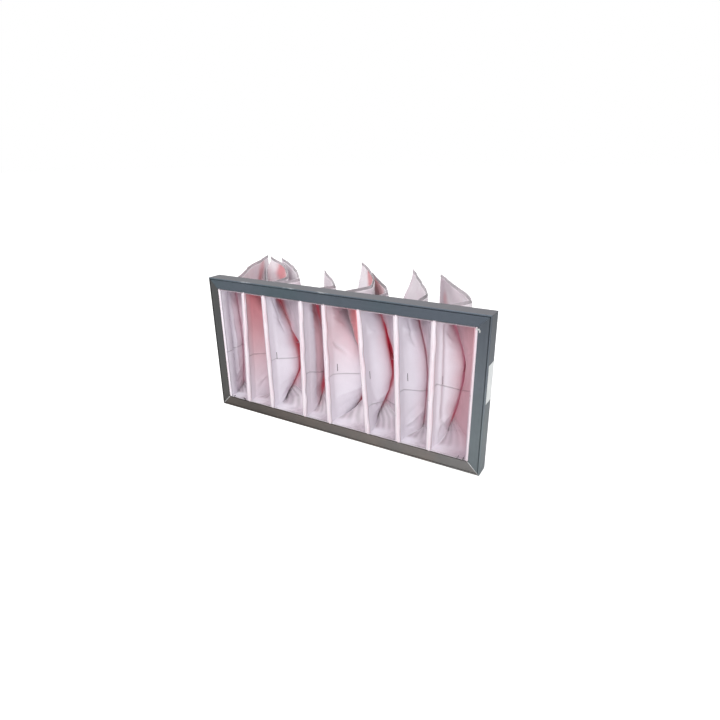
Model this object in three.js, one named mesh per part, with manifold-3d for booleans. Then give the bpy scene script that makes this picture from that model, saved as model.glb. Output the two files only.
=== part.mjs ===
// A bag air filter: a mitred sheet-steel header frame that holds eight folded fabric pockets.
// Millimetres. X runs along the header, Y runs from the air-entry side to the pocket tails, Z is up.
// The header's underside lies at z = 0 and its middle depth at y = 0.
import * as THREE from "three";
import { mergeVertices } from "three/addons/utils/BufferGeometryUtils.js";
import Module from "manifold-3d";

const wasm = await Module();
wasm.setup();

// Header frame
const headerWidth = 592;
const headerHeight = 287;
const headerDepth = 32;
const faceWidth = 21.4; // the flat front flange, from the outer edge to the opening
const sheet = 1; // thickness of the rolled steel
const lipWidth = 2.4; // hemmed lip along the outer front edge
const grooveWidth = 1.4;
const grooveDepth = 2.2;
const returnDepth = 10; // inner return, which the hems seat on
const rearFlange = 12;
const bendRadius = 0.9;
const mitreGap = 0.15; // from each rail's end to the mitre line

// Corner joints
const plateThickness = 1.2;
const plateLeg = 38;
const plateWidth = 9.4;
const rivetShank = 4;
const rivetHead = 7.6;
const rivetHeadHeight = 1.5;
const rivetInset = 25; // from the frame's outer corner to the rivet, along the rail
const holeClearance = 0.2;

// Clearance between pieces that touch
const seat = 0.3;

// Dividers
const barThickness = 3;
const barDepth = 14;
const barFront = 5.5; // from the header's front face to the bar's front edge

// Hem clamps
const clampThickness = 1.2;
const hemReach = 9; // how far a hem stands up into the rail channel
const hemThickness = 2.6;

// Pockets
const pocketCount = 8;
const media = 2.2; // thickness of the fabric
const hemFront = 1.3; // from the header's front face to the front of the hems
const weld = 8; // width of the welded margin round a pocket
const pocketDrop = 268; // height of a pocket's flat tail
const throatDepth = 56; // distance behind the dividers at which the walls have come together
const throatGap = 5; // between the walls behind the throat, at mid height
const tailGap = 2.4;
const cornerGap = 0.5; // between the walls where they run into the top and bottom welds
const gussetSag = 9; // how far the slack cloth over the throat dips
const foldCrown = 0.4; // how far the fold between two walls stands past their edges
const hemEase = 0.25; // how much smaller a hem is than the wall it stands on
const settleRun = 80; // length behind the throat over which a pocket returns to its path

// Spacer tapes
const tapeThickness = 0.8;
const tapeStart = 46; // behind the header's middle plane, measured along the pocket
const tapeEnd = 250;

// How each pocket lies. Its tail ends at the plan point tail, after a bend round the plan point
// elbow, and its rear top corner stands tailDrop below the header's top. The throat is where its
// walls have come together: swell is how far it stands to the right at its top, at the share peak
// of its height and at its bottom, and lift is how high its lower end rises above the mouth's
// floor. The tail's lower corner swings to the left by slant.
const lay = [
  { elbow: [-314, 65], tail: [-420, 320], tailDrop: 16, swell: [0, 6, -6], peak: 0.5, lift: 0, slant: 6 },
  { elbow: [-130, 115], tail: [-384, 293], tailDrop: 12, swell: [-24, -14, -24], peak: 0.5, lift: -2, slant: 16 },
  { elbow: [-80, 75], tail: [-345, 288], tailDrop: 12, swell: [-58, -2, -48], peak: 0.38, lift: 4, slant: 8 },
  { elbow: [-14, 75], tail: [-229, 310], tailDrop: 37, swell: [-29, -17, -31], peak: 0.6, lift: 12, slant: 4 },
  { elbow: [49, 135], tail: [-128, 327], tailDrop: 12, swell: [-31, 11, -23], peak: 0.3, lift: 4, slant: 8 },
  { elbow: [96, 88], tail: [-92, 311], tailDrop: 31, swell: [-24, 8, -26], peak: 0.4, lift: 14, slant: -10 },
  { elbow: [175, 78], tail: [7, 328], tailDrop: 17, swell: [-5, 9, 1], peak: 0.5, lift: 3, slant: 24 },
  { elbow: [278, 72], tail: [77, 328], tailDrop: 22, swell: [-37, 1, -27], peak: 0.58, lift: 20, slant: -2 },
];

// How far each divider stands from its even place, at its top and at its bottom end.
const dividerDrift = [
  { top: -2, bottom: -14 },
  { top: -20, bottom: -18 },
  { top: 1, bottom: -3 },
  { top: -16, bottom: -12 },
  { top: -12, bottom: 6 },
  { top: -7, bottom: 2 },
  { top: -6, bottom: -6 },
];

// Materials
const galvanised = { color: 0x6c767c, roughness: 0.42, metalness: 0.85 };
const bareSteel = { color: 0x8b8f92, roughness: 0.45, metalness: 0.9 };
const rivetAlloy = { color: 0xa5a8aa, roughness: 0.38, metalness: 0.9 };
const pinkFabric = { color: 0xf0d3dc, roughness: 0.92, metalness: 0 };
const whiteTape = { color: 0xece6e6, roughness: 0.85, metalness: 0 };

const filter = new THREE.Group();
filter.name = "bag_air_filter";

const front = -headerDepth / 2;
const rear = headerDepth / 2;
const openingWidth = headerWidth - 2 * faceWidth;
const openingHeight = headerHeight - 2 * faceWidth;
const openingBottom = faceWidth;
const openingTop = headerHeight - faceWidth;

const mix = (a, b, t) => a + (b - a) * t;
const clamp01 = (t) => Math.min(1, Math.max(0, t));
const ease = (t) => clamp01(t) * clamp01(t) * (3 - 2 * clamp01(t));

function addMesh(name, geometry, look) {
  const mesh = new THREE.Mesh(geometry, new THREE.MeshStandardMaterial(look));
  mesh.name = name;
  filter.add(mesh);
  return mesh;
}

// Booleans on closed meshes
function toSolid(geometry) {
  const bare = geometry.clone();
  bare.deleteAttribute("normal");
  bare.deleteAttribute("uv");
  const merged = mergeVertices(bare, 1e-4);
  return new wasm.Manifold(
    new wasm.Mesh({
      numProp: 3,
      vertProperties: new Float32Array(merged.attributes.position.array),
      triVerts: new Uint32Array(merged.index.array),
    }),
  );
}

function toGeometry(solid) {
  const made = solid.getMesh();
  const geometry = new THREE.BufferGeometry();
  geometry.setAttribute("position", new THREE.BufferAttribute(made.vertProperties, 3));
  geometry.setIndex(new THREE.BufferAttribute(made.triVerts, 1));
  const flat = geometry.toNonIndexed();
  flat.computeVertexNormals();
  return flat;
}

function drill(geometry, tools) {
  let solid = toSolid(geometry);
  for (const tool of tools) solid = solid.subtract(toSolid(tool));
  return toGeometry(solid);
}

function turnFacesRound(geometry) {
  const index = geometry.index ? geometry.index.array : null;
  const flat = index ? geometry.toNonIndexed() : geometry;
  const p = flat.attributes.position;
  for (let i = 0; i < p.count; i += 3) {
    const b = new THREE.Vector3().fromBufferAttribute(p, i + 1);
    const c = new THREE.Vector3().fromBufferAttribute(p, i + 2);
    p.setXYZ(i + 1, c.x, c.y, c.z);
    p.setXYZ(i + 2, b.x, b.y, b.z);
  }
  flat.computeVertexNormals();
  return flat;
}

// Closed outline with its corners rounded; each point is [x, y, radius].
function roundedOutline(points) {
  const shape = new THREE.Shape();
  const n = points.length;
  for (let i = 0; i < n; i += 1) {
    const here = new THREE.Vector2(points[i][0], points[i][1]);
    const before = new THREE.Vector2(...points[(i + n - 1) % n].slice(0, 2));
    const after = new THREE.Vector2(...points[(i + 1) % n].slice(0, 2));
    const radius = points[i][2] || 0;
    const into = before.sub(here).normalize().multiplyScalar(radius).add(here);
    const away = after.sub(here).normalize().multiplyScalar(radius).add(here);
    if (i === 0) shape.moveTo(into.x, into.y);
    else shape.lineTo(into.x, into.y);
    if (radius > 0) shape.quadraticCurveTo(here.x, here.y, away.x, away.y);
  }
  shape.closePath();
  return shape;
}

// The rolled section of a rail: x is the distance in from the outer edge, y is the depth.
function railSection() {
  const faceStart = lipWidth + grooveWidth;
  const grooveFloor = front + grooveDepth;
  return roundedOutline([
    [0, rear, bendRadius],
    [0, front, bendRadius],
    [lipWidth, front, 0.4],
    [lipWidth, grooveFloor],
    [faceStart, grooveFloor],
    [faceStart, front, 0.4],
    [faceWidth, front, bendRadius],
    [faceWidth, front + returnDepth],
    [faceWidth - sheet, front + returnDepth],
    [faceWidth - sheet, front + sheet],
    [faceStart + sheet, front + sheet],
    [faceStart + sheet, grooveFloor + sheet],
    [sheet, grooveFloor + sheet],
    [sheet, rear - sheet],
    [rearFlange, rear - sheet],
    [rearFlange, rear],
  ]);
}

// A rail lies along X with its outer edge at z = 0, and its ends are mitred.
function railGeometry(length) {
  const geometry = new THREE.ExtrudeGeometry(railSection(), {
    depth: 1,
    steps: 1,
    bevelEnabled: false,
    curveSegments: 2,
  });
  const p = geometry.attributes.position;
  for (let i = 0; i < p.count; i += 1) {
    const inward = p.getX(i);
    const depth = p.getY(i);
    const side = p.getZ(i) > 0.5 ? 1 : -1;
    p.setXYZ(i, side * (length / 2 - inward - mitreGap), depth, inward);
  }
  return turnFacesRound(geometry);
}

function rivetHole(x, z) {
  const tool = new THREE.CylinderGeometry(
    rivetShank / 2 + holeClearance,
    rivetShank / 2 + holeClearance,
    4 * sheet,
    16,
  );
  tool.translate(x, rear - sheet / 2, z);
  return tool;
}

function drilledRail(length) {
  const x = length / 2 - rivetInset;
  const z = rivetLine();
  return drill(railGeometry(length), [rivetHole(x, z), rivetHole(-x, z)]);
}

function rivetLine() {
  return sheet + seat + plateWidth / 2;
}

function addRails() {
  const middle = headerHeight / 2;
  const places = [
    { name: "rail_bottom", length: headerWidth, at: [0, 0, 0], turn: 0 },
    { name: "rail_top", length: headerWidth, at: [0, 0, headerHeight], turn: Math.PI },
    { name: "rail_left", length: headerHeight, at: [-headerWidth / 2, 0, middle], turn: Math.PI / 2 },
    { name: "rail_right", length: headerHeight, at: [headerWidth / 2, 0, middle], turn: -Math.PI / 2 },
  ];
  for (const { name, length, at, turn } of places) {
    const rail = addMesh(name, drilledRail(length), galvanised);
    rail.position.set(...at);
    rail.rotation.y = turn;
  }
}

// An angle plate lies inside the rear flanges of two rails that meet, and two rivets hold it.
function cornerPlate() {
  const inner = sheet + seat;
  const outline = new THREE.Shape();
  outline.moveTo(inner, inner);
  outline.lineTo(plateLeg, inner);
  outline.lineTo(plateLeg, inner + plateWidth);
  outline.lineTo(inner + plateWidth, inner + plateWidth);
  outline.lineTo(inner + plateWidth, plateLeg);
  outline.lineTo(inner, plateLeg);
  outline.closePath();
  for (const [x, y] of [[rivetInset, rivetLine()], [rivetLine(), rivetInset]]) {
    const hole = new THREE.Path();
    hole.absarc(x, y, rivetShank / 2 + holeClearance, 0, 2 * Math.PI, true);
    outline.holes.push(hole);
  }
  const geometry = new THREE.ExtrudeGeometry(outline, {
    depth: plateThickness,
    bevelEnabled: false,
    curveSegments: 8,
  });
  geometry.rotateX(Math.PI / 2);
  geometry.translate(0, rear - sheet - seat, 0);
  return geometry;
}

function rivetGeometry() {
  const shank = rivetShank / 2;
  const grip = sheet + 2 * seat + plateThickness;
  const outline = [
    [0, rivetHeadHeight],
    [shank, rivetHeadHeight * 0.8],
    [rivetHead / 2, 0.25],
    [rivetHead / 2, 0],
    [shank, 0],
    [shank, -grip],
    [shank + 1.1, -grip - 1],
    [0, -grip - 3.2],
  ].map(([r, y]) => new THREE.Vector2(r, y));
  const geometry = new THREE.LatheGeometry(outline.reverse(), 10);
  geometry.translate(0, rear + seat / 2, 0);
  return geometry;
}

function addCorners() {
  const corners = [
    { name: "bottom_left", x: -1, z: 0, mirror: [1, 1] },
    { name: "bottom_right", x: 1, z: 0, mirror: [-1, 1] },
    { name: "top_left", x: -1, z: 1, mirror: [1, -1] },
    { name: "top_right", x: 1, z: 1, mirror: [-1, -1] },
  ];
  for (const { name, x, z, mirror } of corners) {
    const cornerX = (x * headerWidth) / 2;
    const cornerZ = z * headerHeight;
    const turns = { "1,1": 0, "-1,1": -Math.PI / 2, "1,-1": Math.PI / 2, "-1,-1": Math.PI };
    const plate = addMesh("corner_plate_" + name, cornerPlate(), bareSteel);
    plate.position.set(cornerX, 0, cornerZ);
    plate.rotation.y = turns[mirror.join()];
    const across = addMesh("rivet_" + name + "_level", rivetGeometry(), rivetAlloy);
    across.position.set(cornerX + mirror[0] * rivetInset, 0, cornerZ + mirror[1] * rivetLine());
    const upright = addMesh("rivet_" + name + "_upright", rivetGeometry(), rivetAlloy);
    upright.position.set(cornerX + mirror[0] * rivetLine(), 0, cornerZ + mirror[1] * rivetInset);
  }
}

// Junction line k between two pockets, at height z. Lines 0 and pocketCount are the side rails.
function junctionX(k, z) {
  const even = -openingWidth / 2 + (openingWidth * k) / pocketCount;
  const drift = dividerDrift[k - 1];
  if (!drift) return even;
  return even + mix(drift.bottom, drift.top, (z - openingBottom) / openingHeight);
}

// Where a pocket's hem and wall have their outer faces at a junction; side is 1 for its left side.
function mouthEdge(k, z, side) {
  const line = junctionX(k, z);
  const atRail = k === 0 || k === pocketCount;
  const hem = line + side * (atRail ? seat : seat / 2);
  const wall = atRail ? hem + side * (barThickness + seat) : line + side * (barThickness / 2 + seat);
  return { hem, wall };
}

function addDividers() {
  const length = openingHeight - 2 * seat - 0.4;
  const middle = headerHeight / 2;
  const depthAt = front + barFront + barDepth / 2;
  for (let k = 1; k < pocketCount; k += 1) {
    const geometry = new THREE.BoxGeometry(barThickness, barDepth, length);
    const bar = addMesh("divider_bar_" + k, geometry, bareSteel);
    bar.position.set(junctionX(k, middle), depthAt, middle);
    const drift = dividerDrift[k - 1];
    bar.rotation.y = Math.atan((drift.top - drift.bottom) / openingHeight);
  }
  for (const side of [-1, 1]) {
    const name = side < 0 ? "end_bar_left" : "end_bar_right";
    const geometry = new THREE.BoxGeometry(barThickness, barDepth, length);
    const bar = addMesh(name, geometry, bareSteel);
    bar.position.set(side * (openingWidth / 2 - seat - barThickness / 2), depthAt, middle);
  }
}

// A flat strip behind each row of hems fills the rail channel from web to opening.
function addHemClamps() {
  const height = faceWidth - sheet - 2 * seat;
  const length = headerWidth - 2 * (sheet + seat);
  const depthAt = hemRear() + seat + clampThickness / 2;
  for (const [name, z] of [
    ["hem_clamp_bottom", sheet + seat + height / 2],
    ["hem_clamp_top", headerHeight - sheet - seat - height / 2],
  ]) {
    const geometry = new THREE.BoxGeometry(length, clampThickness, height);
    addMesh(name, geometry, bareSteel).position.set(0, depthAt, z);
  }
}

function hemStart() {
  return front + returnDepth + seat;
}

function hemRear() {
  return hemStart() + hemThickness;
}

// The walls run straight back past the dividers before they close in.
function mouthRear() {
  return front + barFront + barDepth + seat;
}

// A pocket's path in plan: a quadratic curve from the middle of its mouth round its elbow.
function pocketPath(i, z) {
  const left = mouthEdge(i, z, 1).wall;
  const right = mouthEdge(i + 1, z, -1).wall;
  const start = new THREE.Vector2((left + right) / 2, mouthRear());
  const elbow = new THREE.Vector2(...lay[i].elbow);
  const tail = new THREE.Vector2(...lay[i].tail);
  return new THREE.QuadraticBezierCurve(start, elbow, tail);
}

// How far a pocket's throat stands to the right at height share v.
function swellAt(i, v) {
  const { swell, peak } = lay[i];
  const [top, middle, bottom] = swell;
  if (v > peak) return mix(middle, top, ((v - peak) / (1 - peak)) ** 1.5);
  return mix(middle, bottom, ((peak - v) / peak) ** 1.5);
}

// The inner faces of a pocket's two walls at distance s along it and height share v.
function wallPair(i, s, v) {
  const { z } = heightAt(i, s, v);
  const path = pocketPath(i, z);
  const total = path.getLength();
  const u = clamp01(s / total);
  const centre = path.getPointAt(u);
  const along = path.getTangentAt(u);
  const across = new THREE.Vector2(along.y, -along.x);
  const closing = ease(s / throatDepth);
  const settle = 1 - ease((s - throatDepth) / settleRun);
  centre.x += swellAt(i, v) * closing * settle;
  centre.x -= lay[i].slant * ease(2 * (1 - v)) * ease(u) ** 2;
  const halfMouth = (mouthEdge(i + 1, z, -1).wall - mouthEdge(i, z, 1).wall) / 2 - media;
  const open = mix(throatGap, tailGap, ease(u)) - cornerGap;
  const halfSlit = (cornerGap + open * (1 - (2 * v - 1) ** 4)) / 2;
  const half = mix(halfMouth, halfSlit, closing);
  const crossing = new THREE.Vector2(1, 0).lerp(across, closing).normalize();
  return {
    z,
    left: centre.clone().addScaledVector(crossing, -half),
    right: centre.clone().addScaledVector(crossing, half),
    middle: centre,
    crossing,
  };
}

// Heights of a pocket's inside at distance s and share v of its height. Keel is where the slack
// cloth below it hangs down to.
function heightAt(i, s, v) {
  const length = pocketLength(i);
  const run = ease(s / length);
  const rearTop = headerHeight - lay[i].tailDrop;
  const floor = openingBottom + seat + media;
  const tailBottom = Math.max(0, rearTop - pocketDrop) + weld;
  const throatFloor = floor + lay[i].lift;
  const behind = ease((s - throatDepth) / (length - throatDepth));
  const bottom = mix(mix(floor, throatFloor, ease(s / throatDepth)), tailBottom, behind);
  const top = mix(openingTop - seat - media, rearTop - weld, run);
  return { z: mix(bottom, top, v), top, bottom, keel: Math.min(bottom, mix(floor, tailBottom, run)) };
}

function pocketLength(i) {
  const left = junctionX(i, headerHeight / 2);
  const right = junctionX(i + 1, headerHeight / 2);
  const start = new THREE.Vector2((left + right) / 2, mouthRear());
  const curve = new THREE.QuadraticBezierCurve(
    start,
    new THREE.Vector2(...lay[i].elbow),
    new THREE.Vector2(...lay[i].tail),
  );
  return curve.getLength();
}

const levels = [0, 0.08, 0.2, 0.35, 0.5, 0.65, 0.8, 0.92, 1];
const bodyStations = [6, 14, 24, 35, 46, 58, 78, 108, 150, 205, 270];

// One ring of a pocket: up its left wall, over the top, down its right wall and along the bottom.
// grow moves the ring outwards from the inner faces, and rise does so above and below. An outer
// ring reaches down to the keel between its walls.
function bodyRing(i, s, grow, rise) {
  const rows = levels.map((v) => wallPair(i, s, v));
  const span = heightAt(i, s, 0);
  const sag = gussetSag * Math.sin(Math.PI * clamp01(s / throatDepth));
  const ring = [];
  const place = (point, z) => ring.push(new THREE.Vector3(point.x, point.y, z));
  for (const [j, row] of rows.entries()) {
    const z = row.z + rise * (2 * levels[j] - 1);
    place(row.left.clone().addScaledVector(row.crossing, -grow), z);
  }
  place(rows.at(-1).middle, span.top + rise + foldCrown - sag);
  for (const [j, row] of [...rows.entries()].reverse()) {
    const z = row.z + rise * (2 * levels[j] - 1);
    place(row.right.clone().addScaledVector(row.crossing, grow), z);
  }
  place(rows[0].middle, (rise > 0 ? span.keel : span.bottom) - rise - foldCrown);
  return ring;
}

// A ring of the straight mouth at depth y, out to the named face of the fabric.
function mouthRing(i, y, face, reach) {
  const bottom = openingBottom + seat + media;
  const top = openingTop - seat - media;
  const edge = (k, z, side) => {
    const { hem, wall } = mouthEdge(k, z, side);
    if (face === "hem") return hem;
    const inwards = { wall: 0, flange: hemEase, inside: media };
    return wall + side * inwards[face];
  };
  const ring = [];
  const heightOf = (v) => mix(bottom, top, v) + reach * (2 * v - 1);
  for (const v of levels) ring.push(new THREE.Vector3(edge(i, heightOf(v), 1), y, heightOf(v)));
  const middleTop = (edge(i, top, 1) + edge(i + 1, top, -1)) / 2;
  ring.push(new THREE.Vector3(middleTop, y, heightOf(1)));
  for (const v of [...levels].reverse()) {
    ring.push(new THREE.Vector3(edge(i + 1, heightOf(v), -1), y, heightOf(v)));
  }
  const middleBottom = (edge(i, bottom, 1) + edge(i + 1, bottom, -1)) / 2;
  ring.push(new THREE.Vector3(middleBottom, y, heightOf(0)));
  return ring;
}

// Skins a row of rings and closes the last one with a strip from wall to wall.
function skinRings(rings, closeLast) {
  const positions = [];
  const size = rings[0].length;
  const face = (a, b, c) => positions.push(...a.toArray(), ...b.toArray(), ...c.toArray());
  for (let r = 0; r + 1 < rings.length; r += 1) {
    for (let k = 0; k < size; k += 1) {
      const next = (k + 1) % size;
      face(rings[r][k], rings[r + 1][k], rings[r + 1][next]);
      face(rings[r][k], rings[r + 1][next], rings[r][next]);
    }
  }
  if (closeLast) closeRing(rings.at(-1), face);
  return positions;
}

function closeRing(ring, face) {
  const rows = levels.length;
  const right = (j) => ring[2 * rows - j];
  for (let j = 0; j + 1 < rows; j += 1) {
    face(ring[j], right(j), right(j + 1));
    face(ring[j], right(j + 1), ring[j + 1]);
  }
  face(ring[rows - 1], right(rows - 1), ring[rows]);
  face(ring[0], ring[2 * rows + 1], right(0));
}

function pocketGeometry(i) {
  const length = pocketLength(i);
  const stations = bodyStations.filter((s) => s < length - 2 * weld);
  const hemOuter = front + hemFront;
  const barShadow = front + barFront - seat;
  const outer = [
    mouthRing(i, hemOuter, "hem", media * 0.55),
    mouthRing(i, hemOuter + 1.2, "hem", media - hemEase),
    mouthRing(i, barShadow, "hem", media - hemEase),
    mouthRing(i, barShadow, "wall", media),
    mouthRing(i, hemStart(), "wall", media),
    mouthRing(i, hemStart(), "flange", media + hemReach),
    mouthRing(i, hemRear(), "flange", media + hemReach),
    mouthRing(i, hemRear(), "wall", media),
    mouthRing(i, mouthRear(), "wall", media),
    ...stations.map((s) => bodyRing(i, s, media, media)),
    bodyRing(i, length - weld, media, weld - media),
    bodyRing(i, length, media * 0.8, weld),
  ];
  const inner = [
    mouthRing(i, hemOuter, "inside", 0),
    mouthRing(i, mouthRear(), "inside", 0),
    ...stations.map((s) => bodyRing(i, s, 0, 0)),
    bodyRing(i, length - weld, 0, 0),
  ];
  const outerFaces = skinRings(outer, true);
  const innerFaces = skinRings(inner, true);
  const rim = skinRings([inner[0], outer[0]], false);
  const geometry = new THREE.BufferGeometry();
  const all = [...outerFaces, ...reversed(innerFaces), ...rim];
  geometry.setAttribute("position", new THREE.Float32BufferAttribute(all, 3));
  return geometry;
}

function reversed(positions) {
  const turned = [];
  for (let k = 0; k < positions.length; k += 9) {
    turned.push(...positions.slice(k, k + 3), ...positions.slice(k + 6, k + 9));
    turned.push(...positions.slice(k + 3, k + 6));
  }
  return turned;
}

function addPockets() {
  for (let i = 0; i < pocketCount; i += 1) {
    addMesh("pocket_" + (i + 1), turnFacesRound(pocketGeometry(i)), pinkFabric);
  }
}

// A tape inside a pocket runs from wall to wall at mid height, from near the throat to the tail.
function tapeGeometry(i) {
  const stations = bodyStations.filter((s) => s >= tapeStart && s <= tapeEnd);
  const rings = stations.map((s) => {
    const { left, right, crossing, z } = wallPair(i, s, 0.5);
    const a = left.clone().addScaledVector(crossing, seat);
    const b = right.clone().addScaledVector(crossing, -seat);
    const half = tapeThickness / 2;
    return [
      new THREE.Vector3(a.x, a.y, z - half),
      new THREE.Vector3(a.x, a.y, z + half),
      new THREE.Vector3(b.x, b.y, z + half),
      new THREE.Vector3(b.x, b.y, z - half),
    ];
  });
  const positions = skinRings(rings, false);
  const cap = (ring) => [ring[0], ring[1], ring[2], ring[0], ring[2], ring[3]].flatMap((p) => p.toArray());
  const all = [...positions, ...reversed(cap(rings.at(-1))), ...cap(rings[0])];
  const geometry = new THREE.BufferGeometry();
  geometry.setAttribute("position", new THREE.Float32BufferAttribute(all, 3));
  return turnFacesRound(geometry);
}

function addTapes() {
  for (let i = 0; i < pocketCount; i += 1) {
    addMesh("spacer_tape_" + (i + 1), tapeGeometry(i), whiteTape);
  }
}

addRails();
addCorners();
addDividers();
addHemClamps();
addPockets();
addTapes();

export default filter;
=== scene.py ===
import bpy, math
import numpy as np
from mathutils import Matrix, Vector


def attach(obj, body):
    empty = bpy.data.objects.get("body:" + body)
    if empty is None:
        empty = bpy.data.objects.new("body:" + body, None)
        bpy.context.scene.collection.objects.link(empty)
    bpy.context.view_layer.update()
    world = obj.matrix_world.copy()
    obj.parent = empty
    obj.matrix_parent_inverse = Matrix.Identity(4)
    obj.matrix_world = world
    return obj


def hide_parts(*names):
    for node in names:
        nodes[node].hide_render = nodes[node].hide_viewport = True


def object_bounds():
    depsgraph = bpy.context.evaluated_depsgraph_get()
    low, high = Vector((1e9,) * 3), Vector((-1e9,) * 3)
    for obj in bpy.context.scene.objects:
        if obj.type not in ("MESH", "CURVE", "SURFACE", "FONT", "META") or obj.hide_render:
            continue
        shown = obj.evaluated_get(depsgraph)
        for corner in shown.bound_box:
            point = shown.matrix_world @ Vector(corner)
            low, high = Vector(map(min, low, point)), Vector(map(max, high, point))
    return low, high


# Bag air filter: a galvanised header frame with eight slack fabric pockets behind it.
# Pocket shapes are worked out in millimetres, then scaled to the scene's metres.
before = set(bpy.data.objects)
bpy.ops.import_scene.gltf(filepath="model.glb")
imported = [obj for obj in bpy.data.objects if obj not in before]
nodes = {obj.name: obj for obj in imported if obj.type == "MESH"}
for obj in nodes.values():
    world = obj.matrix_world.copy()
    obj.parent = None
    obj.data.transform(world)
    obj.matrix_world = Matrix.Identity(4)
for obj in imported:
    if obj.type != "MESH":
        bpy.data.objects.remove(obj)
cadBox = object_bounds()
mm = 0.001


# Shader graphs: a socket that can be used in plain expressions
class Wire:
    def __init__(self, graph, socket):
        self.graph = graph
        self.socket = socket

    def maths(self, operation, *values):
        return self.graph.add("ShaderNodeMath", {"operation": operation}, values)

    def __add__(self, other): return self.maths("ADD", self, other)
    def __radd__(self, other): return self.maths("ADD", other, self)
    def __sub__(self, other): return self.maths("SUBTRACT", self, other)
    def __rsub__(self, other): return self.maths("SUBTRACT", other, self)
    def __mul__(self, other): return self.maths("MULTIPLY", self, other)
    def __rmul__(self, other): return self.maths("MULTIPLY", other, self)
    def __truediv__(self, other): return self.maths("DIVIDE", self, other)
    def __rtruediv__(self, other): return self.maths("DIVIDE", other, self)
    def __abs__(self): return self.maths("ABSOLUTE", self)

    def sine(self): return self.maths("SINE", self)
    def low(self, other): return self.maths("MINIMUM", self, other)
    def high(self, other): return self.maths("MAXIMUM", self, other)

    def band(self, start, end):  # 0 at start, 1 at end, smooth between
        settings = {"interpolation_type": "SMOOTHSTEP"}
        return self.graph.add("ShaderNodeMapRange", settings, (self, start, end, 0.0, 1.0))


class Graph:
    def __init__(self, name, world=False):
        self.owner = (bpy.data.worlds if world else bpy.data.materials).new(name)
        self.owner.use_nodes = True
        self.tree = self.owner.node_tree
        self.tree.nodes.clear()

    def add(self, kind, settings=None, values=(), out=0):
        node = self.tree.nodes.new(kind)
        for key, value in (settings or {}).items():
            setattr(node, key, value)
        pairs = values.items() if isinstance(values, dict) else enumerate(values)
        for key, value in pairs:
            if isinstance(value, Wire):
                self.tree.links.new(value.socket, node.inputs[key])
            else:
                node.inputs[key].default_value = value
        return Wire(self, node.outputs[out]) if len(node.outputs) else node

    def blend(self, factor, a, b):
        a = (*a, 1.0) if isinstance(a, tuple) else a
        b = (*b, 1.0) if isinstance(b, tuple) else b
        return self.add("ShaderNodeMix", {"data_type": "RGBA"}, {0: factor, 6: a, 7: b}, out=2)

    def shade(self, colour, amount):  # multiplies a colour by a grey amount
        grey = self.add("ShaderNodeCombineColor", {}, (amount, amount, amount))
        settings = {"data_type": "RGBA", "blend_type": "MULTIPLY"}
        return self.add("ShaderNodeMix", settings, {0: 1.0, 6: colour, 7: grey}, out=2)

    def place(self):
        return self.add("ShaderNodeTexCoord", {}, (), out=3)

    def stretch(self, vector, scale):
        return self.add("ShaderNodeVectorMath", {"operation": "MULTIPLY"}, (vector, scale))

    def speckle(self, vector, scale, detail=3.0, rough=0.55):
        values = {"Vector": vector, "Scale": scale, "Detail": detail, "Roughness": rough}
        return self.add("ShaderNodeTexNoise", {}, values)

    def attribute(self, name):
        return self.add("ShaderNodeAttribute", {"attribute_name": name}, (), out=2)

    def bump(self, height, distance, strength=1.0):
        values = {"Height": height, "Distance": distance, "Strength": strength}
        return self.add("ShaderNodeBump", {}, values)

    def surface(self, values):
        shader = self.add("ShaderNodeBsdfPrincipled", {}, values)
        self.add("ShaderNodeOutputMaterial", {}, {"Surface": shader})
        return self.owner


# Camera: the photograph's viewing angle, fitted to the header's corners
view = {"at": (0.49786, -0.76379, 0.51072), "turn": 30.23, "down": 21.42, "roll": -0.68, "lens": 25.65}


def makeCamera():
    data = bpy.data.cameras.new("camera")
    data.sensor_width = 36.0
    data.lens = view["lens"]
    data.clip_end = 50.0
    camera = bpy.data.objects.new("camera", data)
    turn = Matrix.Rotation(math.radians(view["turn"]), 4, "Z")
    tilt = Matrix.Rotation(math.radians(90.0 - view["down"]), 4, "X")
    roll = Matrix.Rotation(math.radians(view["roll"]), 4, "Z")
    camera.matrix_world = Matrix.Translation(view["at"]) @ turn @ tilt @ roll
    bpy.context.scene.collection.objects.link(camera)
    bpy.context.scene.camera = camera


# Light: a pale room, one broad soft lamp from the front, one over the pockets and one from the left
light = {
    "world": 0.72, "floorGlow": 0.56,
    "lamps": {
        "key_lamp": {"at": (0.5, -1.7, 1.5), "aim": (-0.05, 0.05, 0.12), "size": (1.5, 1.2), "power": 27.0},
        "top_lamp": {"at": (-0.4, 0.5, 1.7), "aim": (-0.1, 0.2, 0.15), "size": (1.6, 1.2), "power": 8.6},
        "fill_lamp": {"at": (-1.5, -0.9, 0.9), "aim": (-0.1, 0.1, 0.1), "size": (1.0, 1.0), "power": 6.4},
    },
}


def makeLamps():
    for name, lay in light["lamps"].items():
        data = bpy.data.lights.new(name, "AREA")
        data.shape = "RECTANGLE"
        data.size, data.size_y = lay["size"]
        data.energy = lay["power"]
        lamp = bpy.data.objects.new(name, data)
        lamp.location = lay["at"]
        lamp.rotation_euler = (Vector(lay["aim"]) - Vector(lay["at"])).to_track_quat("-Z", "Y").to_euler()
        bpy.context.scene.collection.objects.link(lamp)


# The room is white to the camera and dimmer to everything that it lights
def makeRoom():
    graph = Graph("room", world=True)
    bpy.context.scene.world = graph.owner
    toCamera = graph.add("ShaderNodeLightPath", {}, (), out="Is Camera Ray")
    through = graph.add("ShaderNodeLightPath", {}, (), out="Is Transmission Ray")
    levels = {"Value": toCamera.high(through), "To Min": light["world"], "To Max": 1.0}
    strength = graph.add("ShaderNodeMapRange", {}, levels)
    back = graph.add("ShaderNodeBackground", {}, {"Color": (1.0, 1.0, 1.0, 1.0), "Strength": strength})
    graph.add("ShaderNodeOutputWorld", {}, {"Surface": back})


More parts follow.
